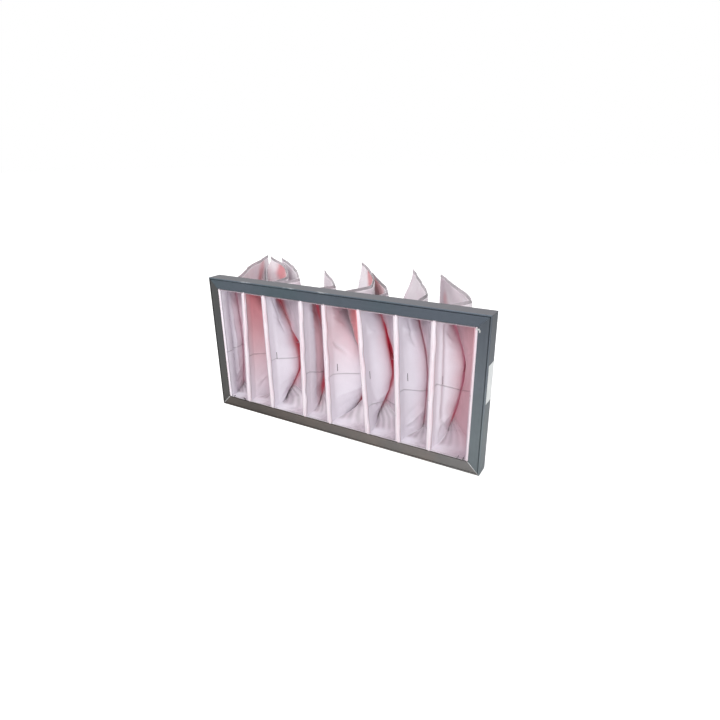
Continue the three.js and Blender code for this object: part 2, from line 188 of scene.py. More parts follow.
floorLay = {"reach": 30.0, "below": 0.0003, "pale": ((0.80, 0.80, 0.80), (0.84, 0.84, 0.84))}


def makeFloor():
    mesh = bpy.data.meshes.new("floor")
    far = floorLay["reach"]
    mesh.from_pydata([(-far, -far, 0), (far, -far, 0), (far, far, 0), (-far, far, 0)], [], [(0, 1, 2, 3)])
    floor = bpy.data.objects.new("floor", mesh)
    floor.location.z = cadBox[0][2] - floorLay["below"]
    bpy.context.scene.collection.objects.link(floor)
    floor.data.materials.append(makeFloorFinish())


# The floor shows as white to the camera where nothing shades it
def makeFloorFinish():
    graph = Graph("pale_floor")
    colour = graph.blend(graph.speckle(graph.place(), 1.5), *floorLay["pale"])
    matte = graph.add("ShaderNodeBsdfDiffuse", {}, {"Color": colour})
    glow = graph.add("ShaderNodeEmission", {}, {"Color": (1, 1, 1, 1), "Strength": light["floorGlow"]})
    both = graph.add("ShaderNodeAddShader", {}, (matte, glow))
    toCamera = graph.add("ShaderNodeLightPath", {}, (), out="Is Camera Ray")
    picked = graph.add("ShaderNodeMixShader", {}, (toCamera, matte, both))
    graph.add("ShaderNodeOutputMaterial", {}, {"Surface": picked})
    return graph.owner


# Filter fabric: needled fibre, with painted light and shade: palest on the lit left walls by the mouth,
# in painted shade on the right walls and deeper in, with painted reddish and grey shade in patches,
# and with painted dark red shade and a painted red glow deep inside, where the only light comes through the
# cloth
fabric = {
    "panel": (0.82, 0.785, 0.855),
    "warmShade": (0.80, 0.66, 0.71),
    "mauveShade": (0.53, 0.45, 0.51),
    "gusset": (0.66, 0.60, 0.65),
    "coralShade": (0.62, 0.20, 0.225),
    "outside": (0.83, 0.78, 0.82),
    "outsideShade": (0.76, 0.66, 0.72),
    "greyShade": (0.42, 0.32, 0.38),
    "weld": (0.42, 0.385, 0.41),
    "deep": (0.42, 0.06, 0.08),
    "through": (0.16, 0.010, 0.024),
    "roseShade": (0.62, 0.40, 0.47),
    "dimGlow": (0.11, 0.05, 0.068),
    "fibreScale": 420.0,
}


def makeFabric():
    graph = Graph("filter_fabric")
    place = graph.place()
    cloud = graph.speckle(place, 14.0, 4.0, 0.6)
    blotch = graph.speckle(place, 55.0, 3.0, 0.5)
    fibre = graph.speckle(place, fabric["fibreScale"], 4.0, 0.7)
    run = graph.attribute("run")        # metres behind the mouth
    inside = graph.attribute("inside")
    side = graph.attribute("side")      # 0 on a pocket's left wall, 1 on its right
    # Mask of painted reddish shade patches
    redShade = graph.attribute("redShade")
    welded = graph.attribute("welded")
    seam = graph.attribute("seam")      # metres above the sewn line
    # Mask of painted grey shade patches, with the painted shade of the top hem under the rail
    greyShade = graph.attribute("greyShade")
    # Mask of painted shade along sharp creases
    creaseShade = graph.attribute("creaseShade")    # 1 along a sharp crease
    # Mask of painted dark red shade and painted red glow deep inside
    deep = graph.attribute("deep")      # 1 where only light through the cloth arrives
    gusset = graph.attribute("gusset")  # 1 on the pleated cloth below the throat
    # The sewn line is darker: a dark thread, with painted shade of its groove
    line = (1.0 - abs(seam).band(0.0004, 0.0012)) * inside
    patchy = cloud.band(0.35, 0.7)
    # Painted light and shade: the lit left wall is palest, the right wall is in painted shade, and both walls
    # take a painted warmer shade further in
    left = graph.blend((run + cloud * 0.02).band(0.045, 0.085), fabric["panel"], fabric["warmShade"])
    right = graph.blend((run + cloud * 0.03).band(0.05, 0.10), fabric["mauveShade"], fabric["roseShade"])
    streaks = graph.speckle(graph.stretch(place, (1.0, 1.0, 0.12)), 110.0, 3.0, 0.6).band(0.3, 0.7)
    right = graph.shade(right, 0.82 + streaks * 0.3)
    inner = graph.blend(side.band(0.15, 0.85), left, right)
    inner = graph.blend(run.band(0.075, 0.12), inner, fabric["roseShade"])
    # Painted shade in the hollows of the gusset's pleats
    pleat = (side * 26.0 + cloud * 3.0).sine() * 0.5 + 0.5
    pleated = graph.shade(graph.blend(patchy, fabric["gusset"], fabric["mauveShade"]), 0.78 + pleat * 0.24)
    inner = graph.blend(gusset, inner, pleated)
    outer = graph.blend(patchy, fabric["outside"], fabric["outsideShade"])
    body = graph.blend(inside, outer, inner)
    # Painted shade: grey patches, reddish patches, and dark red deep inside
    body = graph.blend(greyShade, body, fabric["greyShade"])
    body = graph.blend(redShade.band(0.05, 1.1), body, fabric["coralShade"])
    body = graph.blend(deep, body, fabric["deep"])
    ribs = (graph.attribute("along") * 2400.0).sine() * 0.5 + 0.5
    weldTone = graph.shade(graph.blend(patchy, fabric["weld"], fabric["outsideShade"]), 0.7 + ribs * 0.15)
    edged = graph.blend(welded, body, weldTone)
    # Tone: random blotches, darker on the sewn line and in the creases' painted shade
    tone = (0.96 + blotch * 0.08) - line * 0.22 - creaseShade * 0.26
    colour = graph.shade(edged, tone)
    soft = blotch * 0.5 + fibre * 0.25
    height = soft * (1.0 - welded * 0.8) + ribs * welded * 0.5 - line * 1.4 + pleat * gusset * 1.2
    normal = graph.bump(height, 0.0009, 0.9)
    rough = 0.95 - welded * 0.3
    # Painted glow, as emission: a dim pink glow further in, and a red glow where only light through the cloth
    # arrives
    dusk = inside * run.band(0.058, 0.09)
    glow = graph.blend(deep, graph.blend(dusk, (0.0, 0.0, 0.0), fabric["dimGlow"]), fabric["through"])
    return graph.surface({
        "Base Color": colour, "Roughness": rough, "Normal": normal, "Emission Color": glow,
        "Emission Strength": 1.0, "Sheen Weight": 0.25, "Sheen Roughness": 0.6, "Specular IOR Level": 0.2,
    })


# The header as the pockets see it
header = {"width": 592.0, "height": 287.0, "depth": 32.0, "face": 21.4}
front = -header["depth"] / 2
openingWidth = header["width"] - 2 * header["face"]
openingHeight = header["height"] - 2 * header["face"]
openingBottom = header["face"]
openingTop = header["height"] - header["face"]
divider = {"thickness": 3.0, "depth": 14.0, "front": 5.5, "seat": 0.3}
mouthRear = front + divider["front"] + divider["depth"] + divider["seat"]
cloth = {
    "thickness": 2.2, "hemFront": 1.3, "hemRound": 1.4, "weld": 8.0, "weldHalf": 0.8, "edgeRound": 1.2,
    "tailHeight": 268.0, "throatDepth": 56.0, "tailGap": 2.4, "cornerGap": 0.5, "sag": 9.0, "settleRun": 80.0,
    "gapFrom": 40.0, "gapOver": 120.0, "leanFade": 0.3, "weldFrom": 18.0, "weldOver": 40.0, "pleat": 3.0,
    "rows": 92, "crowding": 0.035, "fineStep": 2.0, "fineEnd": 74.0, "coarseStep": 6.0, "cornerPower": 8,
    "seed": 11,
}

# Each divider's distance from its even place, at its top and at its bottom
dividerDrift = [(-2, -14), (-20, -18), (1, -3), (-16, -12), (-12, 6), (-7, 2), (-6, -6)]


# A crease or a patch of painted shade lies along a line on a wall, from one (distance, height) point to
# another. A positive depth sinks the cloth, and line is how dark the crease's painted shade is drawn.
def crease(wall, start, end, depth, width, line=0.0):
    return {"wall": wall, "from": start, "to": end, "depth": depth, "width": width, "line": line}


def patch(face, start, end, width, amount):
    return {"face": face, "from": start, "to": end, "width": width, "amount": amount}


# How each pocket lies: the plan points elbow and tail, how far its rear top corner stands below the
# header's top (drop), how high the throat's lower end rises (lift), how far the tail's lower corner
# swings to the left (slant), how far the throat stands to the right at its top, at its peak and at
# its bottom (swell), and how far the tail's upper part leans left, from which share of its height
# (lean). Pairs of (height share, value) give the throat's opening (gap), a further bend of it (bow),
# and how much painted dark red shade and painted red glow go there, for the light that comes through
# the cloth (deep). tuck is how far its lower right corner is pushed up, seam the height and slope of
# the sewn line, tacks are (distance, height) points, and a lower pale starts the painted shade further
# in, keeping the lit colour of the front there. Its patch lists give painted reddish shade and painted
# grey shade.
level = ((0.0, 0.0), (1.0, 0.0))
usual = {"bow": level, "deep": level, "lean": (0, 0.25), "pale": 1.0, "tacks": [], "redShade": [], "greyShade": []}
pockets = [
    usual | {
        "elbow": (-314, 65), "tail": (-420, 320), "drop": 16, "lift": 0, "slant": 6,
        "swell": (0, 6, -6), "peak": 0.5, "bow": ((0.0, 0), (0.6, -3), (1.0, -7)),
        "gap": ((0.0, 0.6), (1.0, 0.6)), "tuck": 12, "seam": (127, 0.0),
        "tacks": [(4, 199), (3, 148), (2, 110)],
        "creases": [
            crease("left", (14, 262), (18, 40), -3.0, 5.0),
            crease("left", (26, 250), (30, 60), 2.5, 5.0),
            crease("right", (10, 80), (34, 40), 3.0, 4.0, 0.8),
        ],
        "redShade": [patch("outRight", (306, 268), (275, 215), 24.0, (0.6, 0.95))],
    },
    usual | {
        "elbow": (-130, 115), "tail": (-384, 293), "drop": 12, "lift": -2, "slant": 16, "lean": (12, 0.1),
        "swell": (-24, -14, -24), "peak": 0.5, "deep": ((0.0, 0.0), (1.0, 0.1)),
        "gap": ((0.0, 0.6), (1.0, 1.5)), "tuck": 10, "seam": (127, -0.2),
        "creases": [crease("left", (0, 236), (22, 214), -2.0, 6.0)],
        "redShade": [
            patch("left", (12, 275), (16, 30), 38.0, (1.05, 0.25)),
            patch("outLeft", (264, 262), (172, 222), 38.0, (1.15, 1.2)),
        ],
    },
    usual | {
        "elbow": (-80, 75), "tail": (-345, 288), "drop": 12, "lift": 4, "slant": 8,
        "swell": (-58, -2, -48), "peak": 0.38, "tuck": 26, "seam": (127, -0.16), "pale": 0.9,
        "bow": ((0.0, 0), (0.25, -3), (0.42, -7), (0.6, -11), (0.8, -13), (1.0, -12)),
        "gap": (
            (0.0, 0.6), (0.28, 2.5), (0.4, 11.0), (0.52, 11.5),
            (0.64, 2.0), (0.84, 1.0), (0.95, 6.0), (1.0, 6.0),
        ),
        "deep": ((0.0, 0.3), (0.26, 1.0), (0.55, 1.0), (0.64, 0.3), (0.82, 0.4), (0.9, 1.0), (1.0, 1.0)),
        "tacks": [(4, 133)],
        "creases": [
            crease("left", (0, 262), (30, 182), -3.8, 3.2, 0.9),
            crease("left", (3, 250), (26, 196), 2.6, 3.5, 0.6),
            crease("left", (2, 215), (3, 60), -2.0, 3.0),
            crease("right", (6, 230), (12, 60), -2.2, 4.0, 0.5),
        ],
        "redShade": [patch("right", (50, 262), (54, 195), 10.0, (1.1, 0.8))],
    },
    usual | {
        "elbow": (-14, 75), "tail": (-229, 310), "drop": 37, "lift": 12, "slant": 4,
        "swell": (-29, -17, -31), "peak": 0.6, "tuck": 20, "seam": (115, -0.35), "pale": 0.95,
        "bow": ((0.0, 0), (0.6, 0), (0.8, -8), (1.0, -10)),
        "gap": ((0.0, 3.0), (0.12, 8.0), (0.28, 1.0), (0.75, 1.0), (0.85, 6.0), (1.0, 7.0)),
        "deep": ((0.0, 1.0), (0.2, 1.0), (0.3, 0.2), (0.65, 0.2), (0.78, 1.0), (1.0, 1.0)),
        "creases": [
            crease("left", (4, 238), (20, 232), 1.2, 3.0),
            crease("left", (6, 206), (26, 196), 1.2, 3.0),
            crease("left", (22, 200), (26, 60), -1.6, 7.0),
        ],
        "redShade": [
            patch("left", (30, 255), (32, 40), 17.0, (0.75, 0.42)),
            patch("left", (8, 250), (8, 40), 34.0, (0.2, 0.24)),
        ],
    },
    usual | {
        "elbow": (49, 135), "tail": (-128, 327), "drop": 12, "lift": 4, "slant": 8, "lean": (8, 0.25),
        "swell": (-31, 11, -23), "peak": 0.3, "tuck": 44, "seam": (121, -0.15), "pale": 0.42,
        "bow": ((0.0, 0), (0.4, -3), (0.55, -9), (0.7, -15), (0.85, -16), (1.0, -13)),
        "gap": ((0.0, 1.0), (0.06, 6.0), (0.22, 9.0), (0.4, 3.0), (0.6, 2.0), (0.75, 7.0), (1.0, 10.0)),
        "deep": ((0.0, 1.0), (0.4, 1.0), (0.5, 0.2), (1.0, 0.1)),
        "tacks": [(9, 133)],
        "creases": [
            crease("left", (2, 186), (30, 156), -2.6, 3.0, 0.7),
            crease("left", (0, 240), (26, 238), 1.4, 3.0),
            crease("left", (6, 222), (34, 214), 1.4, 3.0),
        ],
        "redShade": [
            patch("right", (0, 262), (20, 170), 34.0, (1.45, 1.25)),
            patch("outLeft", (275, 270), (165, 235), 26.0, (1.2, 1.2)),
        ],
    },
    usual | {
        "elbow": (96, 88), "tail": (-92, 311), "drop": 31, "lift": 14, "slant": -10,
        "swell": (-24, 8, -26), "peak": 0.4, "tuck": 26, "seam": (76, -0.2), "pale": 0.95,
        "gap": (
            (0.0, 0.8), (0.1, 4.0), (0.25, 3.0), (0.45, 7.0),
            (0.62, 9.0), (0.78, 5.0), (0.86, 1.0), (1.0, 1.0),
        ),
        "deep": ((0.0, 0.5), (0.3, 0.4), (0.45, 1.0), (0.7, 1.0), (0.85, 0.7), (1.0, 0.8)),
        "tacks": [(2, 135)],
        "creases": [
            crease("left", (8, 215), (24, 214), 1.4, 3.5),
            crease("left", (10, 96), (30, 60), -2.0, 6.0),
        ],
        "redShade": [patch("outLeft", (350, 250), (215, 235), 34.0, (1.15, 0.7))],
    },
    usual | {
        "elbow": (175, 78), "tail": (7, 328), "drop": 17, "lift": 3, "slant": 24, "lean": (10, 0.25),
        "swell": (-5, 9, 1), "peak": 0.5, "tuck": 10, "seam": (121, -0.32), "pale": 0.9,
        "bow": ((0.0, 0), (0.5, -3), (0.7, -7), (0.85, -12), (1.0, -15)),
        "gap": ((0.0, 0.8), (0.3, 1.0), (0.7, 1.6), (1.0, 3.0)), "deep": ((0.0, 0.1), (1.0, 0.2)),
        "tacks": [(12, 142)],
        "creases": [
            crease("left", (4, 236), (26, 226), 2.0, 3.5),
            crease("left", (18, 252), (30, 200), -2.4, 4.0),
            crease("left", (8, 44), (32, 40), -2.0, 3.5, 0.6),
        ],
        "greyShade": [patch("outLeft", (345, 262), (215, 240), 60.0, (0.34, 0.22))],
    },
    usual | {
        "elbow": (278, 72), "tail": (77, 328), "drop": 22, "lift": 20, "slant": -2,
        "swell": (-37, 1, -27), "peak": 0.58, "tuck": 22, "seam": (146, -0.5),
        "bow": ((0.0, 0), (0.3, -3), (0.58, -8), (0.8, -8), (1.0, -4)),
        "gap": ((0.0, 1.0), (0.06, 5.0), (0.3, 3.0), (0.5, 4.0), (0.8, 4.0), (1.0, 5.0)),
        "deep": ((0.0, 1.0), (0.1, 0.9), (0.18, 0.2), (1.0, 0.1)),
        "tacks": [(11, 150)],
        "creases": [
            crease("left", (6, 262), (6, 30), 2.6, 3.5),
            crease("left", (14, 258), (15, 50), -3.2, 4.0, 0.4),
            crease("left", (20, 230), (34, 214), 1.6, 3.5),
            crease("left", (10, 70), (44, 34), 2.4, 5.0, 0.9),
        ],
        "redShade": [
            patch("right", (0, 250), (30, 60), 46.0, (0.62, 0.42)),
            patch("outLeft", (318, 222), (300, 214), 20.0, (0.6, 0.4)),
        ],
        "greyShade": [
            patch("outLeft", (352, 275), (318, 190), 40.0, (0.9, 0.7)),
            patch("outLeft", (345, 268), (285, 262), 32.0, (0.95, 0.7)),
            patch("outLeft", (300, 268), (160, 262), 7.0, (0.6, 0.5)),
            patch("right", (0, 190), (12, 50), 60.0, (0.5, 0.85)),
        ],
    },
]


def mix(a, b, t):
    return a + (b - a) * t


def ease(t):
    t = np.clip(t, 0.0, 1.0)
    return t * t * (3.0 - 2.0 * t)


def junctionX(k, z):
    even = -openingWidth / 2 + openingWidth * k / len(pockets)
    if k in (0, len(pockets)):
        return even + 0.0 * z
    top, bottom = dividerDrift[k - 1]
    return even + mix(bottom, top, (z - openingBottom) / openingHeight)


# Outer faces of a hem and of a wall at a junction; side is 1 at a pocket's left, -1 at its right
def mouthEdge(k, z, side):
    seat = divider["seat"]
    line = junctionX(k, z)
    if k in (0, len(pockets)):
        hem = line + side * seat
        return hem, hem + side * (divider["thickness"] + seat)
    return line + side * seat / 2, line + side * (divider["thickness"] / 2 + seat)


class Pocket:
    def __init__(self, index):
        self.index = index
        self.lay = pockets[index]
        middle = header["height"] / 2
        self.start = (junctionX(index, middle) + junctionX(index + 1, middle)) / 2
        t = np.linspace(0.0, 1.0, 401)
        self.samples = t
        points = self.curve(t, self.start)
        steps = np.hypot(np.diff(points[0]), np.diff(points[1]))
        self.travel = np.concatenate([[0.0], np.cumsum(steps)])
        self.length = self.travel[-1]
        inset = divider["seat"] + cloth["thickness"]
        rearTop = header["height"] - self.lay["drop"]
        rearBottom = max(0.0, rearTop - cloth["tailHeight"])
        self.mouth = (openingBottom + inset, openingTop - inset)
        self.tail = (rearBottom + cloth["weld"], rearTop - cloth["weld"])

    def curve(self, t, startX):
        elbow, tail = self.lay["elbow"], self.lay["tail"]
        x = (1 - t) ** 2 * startX + 2 * t * (1 - t) * elbow[0] + t * t * tail[0]
        y = (1 - t) ** 2 * mouthRear + 2 * t * (1 - t) * elbow[1] + t * t * tail[1]
        return x, y + 0.0 * x

    def heading(self, t, startX):
        elbow, tail = self.lay["elbow"], self.lay["tail"]
        x = 2 * (1 - t) * (elbow[0] - startX) + 2 * t * (tail[0] - elbow[0])
        y = 2 * (1 - t) * (elbow[1] - mouthRear) + 2 * t * (tail[1] - elbow[1])
        size = np.hypot(x, y)
        return x / size, y / size

    # Bottom and top of the inside at distance s
    def heights(self, s):
        depth = cloth["throatDepth"]
        behind = ease((s - depth) / (self.length - depth))
        bottom = mix(self.mouth[0] + self.lay["lift"] * ease(s / depth), self.tail[0], behind)
        return bottom, mix(self.mouth[1], self.tail[1], ease(s / self.length))

    # How far the slack cloth hangs below the inside's bottom
    def hang(self, s):
        bottom = self.heights(s)[0]
        return bottom - np.minimum(bottom, mix(self.mouth[0], self.tail[0], ease(s / self.length)))

    # How far the throat stands to the right at height share v
    def swell(self, v):
        top, middle, bottom = self.lay["swell"]
        peak = self.lay["peak"]
        above = mix(middle, top, np.clip((v - peak) / (1 - peak), 0, 1) ** 1.5)
        below = mix(middle, bottom, np.clip((peak - v) / peak, 0, 1) ** 1.5)
        return np.where(v > peak, above, below)

    # Middle line, half opening and crossing direction at distance s and height share v
    def section(self, s, v):
        z = mix(*self.heights(s), v)
        leftWall = mouthEdge(self.index, z, 1)[1]
        rightWall = mouthEdge(self.index + 1, z, -1)[1]
        startX = (leftWall + rightWall) / 2
        t = np.interp(np.clip(s, 0, self.length), self.travel, self.samples)
        x, y = self.curve(t, startX)
        headX, headY = self.heading(t, startX)
        closing = ease(s / cloth["throatDepth"])
        settle = 1.0 - ease((s - cloth["throatDepth"]) / cloth["settleRun"])
        x = x + self.swell(v) * closing * settle
        x = x + np.interp(v, *zip(*self.lay["bow"])) * closing * settle
        x = x - self.lay["slant"] * ease((1.0 - v) / 0.5) * ease(s / self.length) ** 2
        lean, reach = self.lay["lean"]
        fall = 1.0 - ease((1.0 - v - reach) / cloth["leanFade"])
        x = x - lean * ease((1.0 - v) / reach) * fall * ease(s / self.length) ** 2
        halfMouth = (rightWall - leftWall) / 2 - cloth["thickness"]
        throat = np.interp(v, *zip(*self.lay["gap"]))
        flatter = ease((s - cloth["gapFrom"]) / cloth["gapOver"])
        gap = mix(throat, cloth["tailGap"], flatter) - cloth["cornerGap"]
        parted = 1.0 - (2.0 * v - 1.0) ** cloth["cornerPower"]
        halfSlit = (cloth["cornerGap"] + np.maximum(gap, 0.1) * parted) / 2
        half = mix(halfMouth, halfSlit, closing)
        acrossX = mix(1.0, headY, closing)
        acrossY = mix(0.0, -headX, closing)
        size = np.hypot(acrossX, acrossY)
        return x, y, z, half, acrossX / size, acrossY / size


# Smooth seeded waviness, from a few sine waves with directions and phases of their own
class Waves:
    def __init__(self, seed, count, shortest, longest, slant):
        pick = np.random.default_rng(seed)
        size = pick.uniform(shortest, longest, count)
        turn = np.radians(pick.normal(slant, 24.0, count))
        self.k = np.stack([np.cos(turn), np.sin(turn)]) * 2 * np.pi / size
        self.phase = pick.uniform(0, 2 * np.pi, count)
        self.weight = size / size.sum()

    def at(self, s, z):
        angle = np.multiply.outer(s, self.k[0]) + np.multiply.outer(z, self.k[1]) + self.phase
        return (np.sin(angle) * self.weight).sum(axis=-1)


# Where (s, z) lies beside a line on a wall: its share along it, and how far away it is
def besideLine(s, z, line):
    (s0, z0), (s1, z1) = line["from"], line["to"]
    length2 = (s1 - s0) ** 2 + (z1 - z0) ** 2
    t = np.clip(((s - s0) * (s1 - s0) + (z - z0) * (z1 - z0)) / length2, 0, 1)
    return t, np.hypot(s - (s0 + t * (s1 - s0)), z - (z0 + t * (z1 - z0)))


# How far a fold moves the cloth at (s, z)
def foldAt(s, z, fold):
    t, away = besideLine(s, z, fold)
    fade = np.sin(np.pi * np.clip(0.12 + 0.8 * t, 0, 1))
    crisp = np.exp(-away / (0.7 * fold["width"]))
    soft = np.exp(-(away / fold["width"]) ** 2)
    return fold["depth"] * fade * (0.5 * crisp + 0.5 * soft)


# How much a patch of painted shade shows at (s, z): its amount along its line, fading over its width
def patchAt(s, z, spot):
    t, away = besideLine(s, z, spot)
    power = 2 if spot["face"].startswith("out") else 4
    return mix(*spot["amount"], t) * np.exp(-(away / spot["width"]) ** power)


# How much painted shade a crease draws along its line at (s, z)
def creaseShadeAt(s, z, fold):
    t, away = besideLine(s, z, fold)
    return fold["line"] * np.sin(np.pi * np.clip(0.2 + 0.8 * t, 0, 1)) * np.exp(-(away / 1.7) ** 2)


# Distances at which a pocket gets a ring of points, closer together near its mouth
def stations(length):
    step, end, rear = cloth["fineStep"], cloth["fineEnd"], length - cloth["weld"]
    coarse = np.arange(end, rear - 2.0, cloth["coarseStep"])
    return np.concatenate([[0.0], np.arange(step, end, step), coarse, [rear]])


# Corner folds that fan out from each end of the mouth towards the throat, above and below
def cornerFolds(seed, wall):
    pick = np.random.default_rng(seed)
    side = 1 if wall == "left" else -1
    folds = []
    for high in (0, 1):
        for k in range(4):
            z0 = openingTop - 6 - 14 * k if high else openingBottom + 6 + 14 * k
            reach = pick.uniform(26, 60)
            drop = pick.uniform(8, 34) * (-1 if high else 1)
            start, end = (pick.uniform(0, 8), z0), (reach, z0 + drop)
            folds.append(crease(wall, start, end, pick.uniform(-1.6, 2.4) * side, pick.uniform(3.0, 7.5)))
    return folds


# One closed ring of points round a pocket: left wall upwards, top flap, right wall down, bottom flap
flapShare = np.array([0.05, 0.14, 0.23, 0.32, 0.41, 0.5, 0.59, 0.68, 0.77, 0.86, 0.95])
flangeRise = np.array([0.12, 0.45, 0.93, 0.98, 1.0, 1.0, 1.0, 0.98, 0.93, 0.45, 0.12])
flangeSide = np.array([-1.0, -1.0, -0.8, -0.5, -0.2, 0.0, 0.2, 0.5, 0.8, 1.0, 1.0])

# How far the slack cloth sways and ripples, and the distances where that begins and fades
flutter = {
    "sway": 5.0, "ripple": 1.6, "wallRipple": 2.6, "calmed": 0.75, "clear": 8.0, "free": 30.0,
    "calmOver": 40.0, "swayFrom": 40.0, "swayOver": 70.0,
}


def rowLevels():
    v = np.linspace(0.0, 1.0, cloth["rows"])
    return v - cloth["crowding"] * np.sin(2 * np.pi * v)  # a little closer together at the ends


class PocketSkin:
    def __init__(self, index):
        self.pocket = Pocket(index)
        self.v = rowLevels()
        seed = cloth["seed"] + 10 * index
        self.sway = Waves(seed, 6, 90.0, 260.0, 20.0)
        self.ripple = Waves(seed + 1, 14, 26.0, 80.0, 35.0)
        self.wallRipples = {
            "left": Waves(seed + 2, 14, 16.0, 60.0, 60.0), "right": Waves(seed + 3, 14, 16.0, 60.0, 110.0),
        }
        self.folds = {"left": cornerFolds(seed + 4, "left"), "right": cornerFolds(seed + 5, "right")}
        for fold in self.pocket.lay["creases"]:
            self.folds[fold["wall"]].append(fold)

    # How far the cloth of each wall stands off its smooth place
    def stand(self, s, z):
        s = np.full_like(z, s)
        body = ease((s - flutter["swayFrom"]) / flutter["swayOver"])
        common = body * (flutter["sway"] * self.sway.at(s, z) + flutter["ripple"] * self.ripple.at(s, z))
        calmed = flutter["calmed"] * ease((s - flutter["free"]) / flutter["calmOver"])
        near = ease(s / flutter["free"]) * (1.0 - calmed)
        clear = ease(s / flutter["clear"])  # the cloth lies flat against the divider bars
        stands = []
        for wall in ("left", "right"):
            off = common + near * flutter["wallRipple"] * self.wallRipples[wall].at(s, z)
            for fold in self.folds[wall]:
                off = off + clear * foldAt(s, z, fold)
            stands.append(off)
        return stands

    # One wall's points at distance s; side is -1 for the left wall and 1 for the right
    def wall(self, s, v, side):
        x, y, z, half, ax, ay = self.pocket.section(s, v)
        left, right = self.stand(s, z)
        right = np.maximum(right, left - 0.84 * half)
        shift = left - half if side < 0 else right + half
        points = np.stack([x + ax * shift, y + ay * shift, z], axis=1)
        return points, np.stack([ax, ay, np.zeros_like(ax)], axis=1)

    # The pushed-up floor starts the right wall higher, and fades out behind the throat
    def tucked(self, s):
        depth = cloth["throatDepth"]
        amount = self.pocket.lay["tuck"] * float(ease(s / 22.0) * (1.0 - ease((s - depth) / 60.0)))
        bottom, top = self.pocket.heights(s)
        low = amount / (top - bottom)
        return low + (1.0 - low) * self.v

    def walls(self, s, tucked=False):
        leftIn, across = self.wall(s, self.v, -1)
        rightIn = self.wall(s, self.tucked(s) if tucked else self.v, 1)[0]
        return leftIn, rightIn, across

    # grow moves the walls outwards; flange is 0 for an inner ring and up to 1 for a welded edge
    def ring(self, s, grow, rise, flange):
        leftIn, rightIn, across = self.walls(s, grow == 0.0)
        left = leftIn - across * grow
        right = rightIn + across * grow
        slack = math.sin(math.pi * min(1.0, s / cloth["throatDepth"]))
        hang = rise + (self.pocket.hang(s) if rise > 0 else 0.0)
        top = self.flap(left[-1], right[-1], across[-1], slack, rise, flange, 1)
        bottom = self.flap(left[0], right[0], across[0], slack, hang, flange, -1)
        left[:, 2] += self.spread(min(rise, grow))
        right[:, 2] += self.spread(min(rise, grow))
        return np.concatenate([left, top, right[::-1], bottom[::-1]])

    # Moves the wall's ends apart by an amount, upwards at its top and downwards at its bottom
    def spread(self, amount):
        return np.where(self.v > 0.5, 1, -1) * amount * np.abs(2 * self.v - 1) ** cloth["cornerPower"]

    def flap(self, left, right, across, slack, rise, flange, up):
        sag = cloth["sag"] * slack if up > 0 else 0.0
        middle = (left + right) / 2
        share = flapShare[:, None]
        flat = left * (1 - share) + right * share
        flat[:, 2] += up * (min(rise, cloth["thickness"]) - sag * np.sin(np.pi * flapShare))
        if up < 0 and rise == 0.0:
            wave = 0.5 - 0.5 * np.cos(2 * np.pi * 3 * flapShare)
            flat[:, 2] += cloth["pleat"] * slack * wave * np.sin(np.pi * flapShare)
        ridge = np.tile(middle, (len(flapShare), 1))
        ridge = ridge + across * (flangeSide * cloth["weldHalf"])[:, None]
        ridge[:, 2] += up * flangeRise * rise
        return flat * (1 - flange) + ridge * flange

    def mouthRing(self, y, face, reach):
        z = mix(*self.pocket.mouth, self.v)
        index = self.pocket.index
        sides = []
        for k, side in ((index, 1), (index + 1, -1)):
            hem, wall = mouthEdge(k, z, side)
            x = {"hem": hem, "wall": wall, "inside": wall + side * cloth["thickness"]}[face]
            sides.append(np.stack([x, np.full_like(z, y), z + self.spread(reach)], axis=1))
        left, right = sides
        share = flapShare[:, None]
        flatTop = left[-1] * (1 - share) + right[-1] * share
        flatBottom = left[0] * (1 - share) + right[0] * share
        return np.concatenate([left, flatTop, right[::-1], flatBottom[::-1]])


def quadsBetween(rings, size, flip):
    base = np.arange(rings - 1)[:, None] * size
    k = np.arange(size)[None, :]
    nxt = (k + 1) % size
    quads = np.stack([base + k, base + nxt, base + size + nxt, base + size + k], axis=-1).reshape(-1, 4)
    return quads[:, ::-1] if flip else quads


# Pairs of points across a ring's slit, from the bottom middle to the top middle
def slitChains(rows, flaps):
    half = flaps // 2
    bottomMiddle = 2 * rows + flaps + half
    left = [bottomMiddle] + [2 * rows + flaps + k for k in range(half + 1, flaps)]
    right = [bottomMiddle] + [2 * rows + flaps + k for k in range(half - 1, -1, -1)]
    left += list(range(rows)) + [rows + k for k in range(half)]
    right += [2 * rows + flaps - 1 - k for k in range(rows)] + [rows + flaps - 1 - k for k in range(half)]
    left.append(rows + half)
    right.append(rows + half)
    return left, right


def capFaces(offset, rows, flaps, flip):
    left, right = slitChains(rows, flaps)
    faces = []
    for a, b, c, d in zip(left, right, right[1:], left[1:]):
        loop = [offset + p for p in dict.fromkeys((a, b, c, d))]
        faces.append(loop[::-1] if flip else loop)
    return faces


# Faces of a closed tube of rings, with a flat cap at each end
def tubeFaces(rings, size, base=0):
    last = base + (rings - 1) * size
    caps = [[base + k for k in range(size)][::-1], [last + k for k in range(size)]]
    return (quadsBetween(rings, size, False) + base).tolist() + caps


def addObject(name, points, faces, material, smooth=True):
    mesh = bpy.data.meshes.new(name)
    mesh.from_pydata((np.asarray(points) * mm).tolist(), [], [list(f) for f in faces])
    mesh.validate()
    mesh.polygons.foreach_set("use_smooth", [smooth] * len(mesh.polygons))
    thing = bpy.data.objects.new(name, mesh)
    bpy.context.scene.collection.objects.link(thing)
    thing.data.materials.append(material)
    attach(thing, "root")
    return thing


